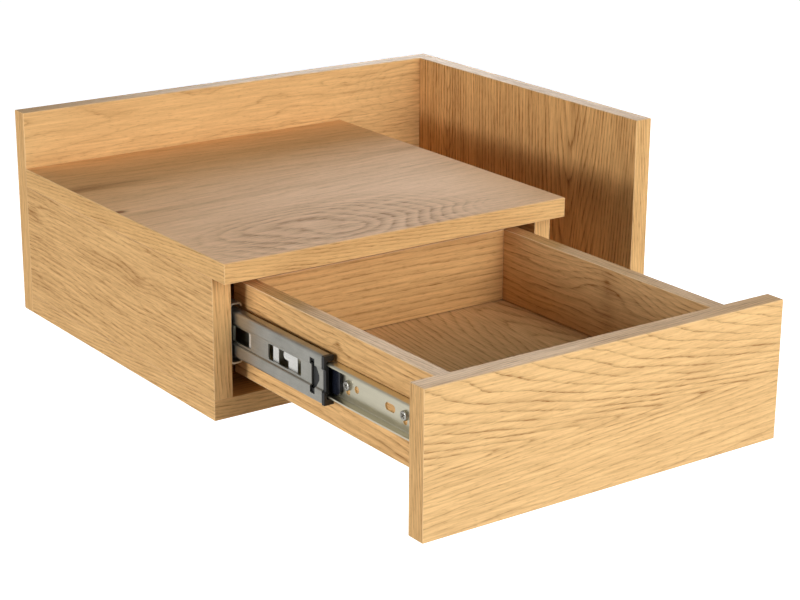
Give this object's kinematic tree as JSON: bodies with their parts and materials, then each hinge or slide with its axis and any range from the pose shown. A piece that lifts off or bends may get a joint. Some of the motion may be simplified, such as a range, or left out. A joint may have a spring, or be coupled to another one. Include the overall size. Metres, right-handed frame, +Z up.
{
  "type": "floating nightstand",
  "caption": "Wall-hung oak-decor nightstand with a raised back, a tall end panel beside an open slot, a shelf top and a drawer on ball-bearing slides.",
  "frame": {"origin": "centre of the back panel's wall face, which lies on the wall", "axes": "+Y points into the wall, -Y into the room and the way the drawer opens; +Z is up; +X is to the right of someone facing the wall, the side of the tall end panel"},
  "size_m": [0.4, 0.55, 0.165],
  "materials": {
    "oak_decor": "oak-printed melamine on particle board, satin, with matching edge bands",
    "slide_steel": "bright zinc plate on cold-rolled steel strip",
    "cage_steel": "thin pressed steel cages with polished balls",
    "screw_steel": "bright zinc-plated screws",
    "hanger_steel": "zinc-plated pressed plate",
    "black_plastic": "moulded black plastic, satin",
    "beech": "plain beech dowel"
  },
  "bodies": {
    "cabinet": {"back_panel": "oak_decor", "right_end_panel": "oak_decor", "cabinet_top": "oak_decor", "cabinet_left_side": "oak_decor", "cabinet_right_side": "oak_decor", "cabinet_bottom": "oak_decor", "wall_hanger_left": "hanger_steel", "wall_hanger_right": "hanger_steel", "wall_hanger_screw_left_upper": "screw_steel", "wall_hanger_screw_left_lower": "screw_steel", "wall_hanger_screw_right_upper": "screw_steel", "wall_hanger_screw_right_lower": "screw_steel", "rear_screw_shelf_left": "screw_steel", "rear_screw_shelf_right": "screw_steel", "rear_screw_end_upper": "screw_steel", "rear_screw_end_lower": "screw_steel", "under_screw_left_front": "screw_steel", "under_screw_left_rear": "screw_steel", "under_screw_right_front": "screw_steel", "under_screw_right_rear": "screw_steel", "shelf_dowel_left_front": "beech", "shelf_dowel_left_rear": "beech", "shelf_dowel_right_front": "beech", "shelf_dowel_right_rear": "beech", "end_dowel_front": "beech", "end_dowel_rear": "beech", "left_slide_cabinet_member": "slide_steel", "left_slide_cabinet_screw_front": "screw_steel", "left_slide_cabinet_screw_rear": "screw_steel", "right_slide_cabinet_member": "slide_steel", "right_slide_cabinet_screw_front": "screw_steel", "right_slide_cabinet_screw_rear": "screw_steel"},
    "drawer": {"drawer_front": "oak_decor", "drawer_left_side": "oak_decor", "drawer_right_side": "oak_decor", "drawer_back": "oak_decor", "drawer_bottom": "oak_decor", "drawer_front_dowel_left_low": "beech", "drawer_front_dowel_left_high": "beech", "drawer_front_dowel_right_low": "beech", "drawer_front_dowel_right_high": "beech", "drawer_back_dowel_left": "beech", "drawer_back_dowel_right": "beech", "left_slide_drawer_member": "slide_steel", "left_slide_drawer_screw_front": "screw_steel", "left_slide_drawer_screw_rear": "screw_steel", "right_slide_drawer_member": "slide_steel", "right_slide_drawer_screw_front": "screw_steel", "right_slide_drawer_screw_rear": "screw_steel"},
    "left_middle": {"left_slide_middle_member": "slide_steel", "left_slide_bumper": "black_plastic"},
    "right_middle": {"right_slide_middle_member": "slide_steel", "right_slide_bumper": "black_plastic"},
    "left_outer_cage": {"left_slide_outer_ball_cage": "cage_steel"},
    "right_outer_cage": {"right_slide_outer_ball_cage": "cage_steel"},
    "left_inner_cage": {"left_slide_inner_ball_cage": "cage_steel"},
    "right_inner_cage": {"right_slide_inner_ball_cage": "cage_steel"},
    "left_lever": {"left_slide_release_lever": "black_plastic"},
    "right_lever": {"right_slide_release_lever": "black_plastic"}
  },
  "joints": [
    {"name": "drawer_slide", "type": "slide", "parent": "cabinet", "child": "drawer", "axis": [0, -1, 0], "range_m": [-0.23, 0.02]},
    {"name": "left_middle_slide", "type": "slide", "parent": "cabinet", "child": "left_middle", "axis": [0, -1, 0], "range_m": [-0.115, 0.01]},
    {"name": "right_middle_slide", "type": "slide", "parent": "cabinet", "child": "right_middle", "axis": [0, -1, 0], "range_m": [-0.115, 0.01]},
    {"name": "left_outer_cage_slide", "type": "slide", "parent": "cabinet", "child": "left_outer_cage", "axis": [0, -1, 0], "range_m": [-0.0575, 0.005]},
    {"name": "right_outer_cage_slide", "type": "slide", "parent": "cabinet", "child": "right_outer_cage", "axis": [0, -1, 0], "range_m": [-0.0575, 0.005]},
    {"name": "left_inner_cage_slide", "type": "slide", "parent": "cabinet", "child": "left_inner_cage", "axis": [0, -1, 0], "range_m": [-0.1725, 0.015]},
    {"name": "right_inner_cage_slide", "type": "slide", "parent": "cabinet", "child": "right_inner_cage", "axis": [0, -1, 0], "range_m": [-0.1725, 0.015]},
    {"name": "left_lever_pivot", "type": "hinge", "parent": "drawer", "child": "left_lever", "pos_m": [-0.1746, -0.396, -0.0215], "axis": [1, 0, 0], "range_deg": [0, 3.5]},
    {"name": "right_lever_pivot", "type": "hinge", "parent": "drawer", "child": "right_lever", "pos_m": [0.0746, -0.396, -0.0215], "axis": [1, 0, 0], "range_deg": [-3.5, 0]}
  ],
  "couplings": [
    {"joint": "left_middle_slide", "follows": "drawer_slide", "ratio": 0.5},
    {"joint": "right_middle_slide", "follows": "drawer_slide", "ratio": 0.5},
    {"joint": "left_outer_cage_slide", "follows": "drawer_slide", "ratio": 0.25},
    {"joint": "right_outer_cage_slide", "follows": "drawer_slide", "ratio": 0.25},
    {"joint": "left_inner_cage_slide", "follows": "drawer_slide", "ratio": 0.75},
    {"joint": "right_inner_cage_slide", "follows": "drawer_slide", "ratio": 0.75}
  ]
}
